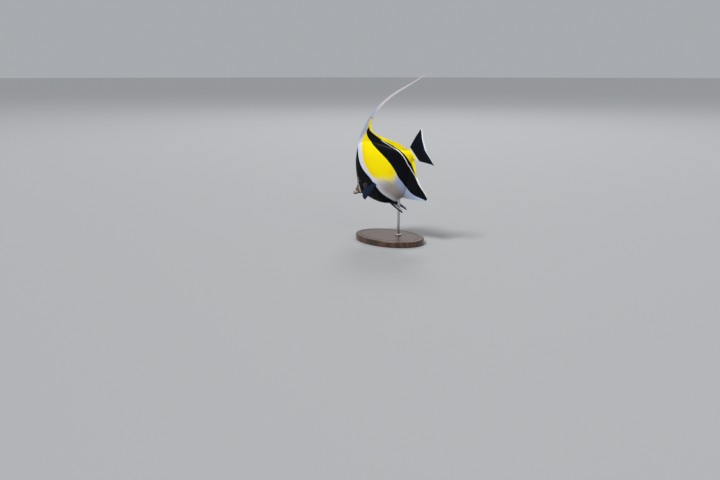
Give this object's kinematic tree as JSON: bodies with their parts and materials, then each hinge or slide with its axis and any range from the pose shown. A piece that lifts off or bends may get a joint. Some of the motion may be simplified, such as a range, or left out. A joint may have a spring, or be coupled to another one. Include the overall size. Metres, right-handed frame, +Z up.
{
  "type": "fish model",
  "caption": "Life-size black, yellow and white banded reef fish with a long dorsal streamer, swimming nose down, held over an oval base by a thin rod.",
  "frame": {"origin": "centre of the flat underside of the stand's base", "axes": "+Z up; the fish heads towards -X with its nose down, and its left side faces -Y"},
  "size_m": [0.1673, 0.088, 0.2689],
  "materials": {
    "skin": "satin",
    "face": "satin",
    "fin": "satin",
    "streamer": "satin",
    "eye": "glossy",
    "base": "satin",
    "rod": "satin"
  },
  "bodies": {
    "root": {"snout": "face", "head": "face", "gill_cover_left": "face", "gill_cover_right": "face", "trunk": "skin", "tail_root": "skin", "dorsal_fin": "fin", "anal_fin": "fin", "tail_fin": "fin", "pectoral_fin_left": "fin", "pectoral_fin_right": "fin", "pelvic_fin_left": "fin", "pelvic_fin_right": "fin", "dorsal_streamer_1": "streamer", "dorsal_streamer_2": "streamer", "dorsal_streamer_3": "streamer", "eye_left": "eye", "eye_right": "eye", "stand_base": "base", "stand_rod": "rod"}
  },
  "joints": []
}
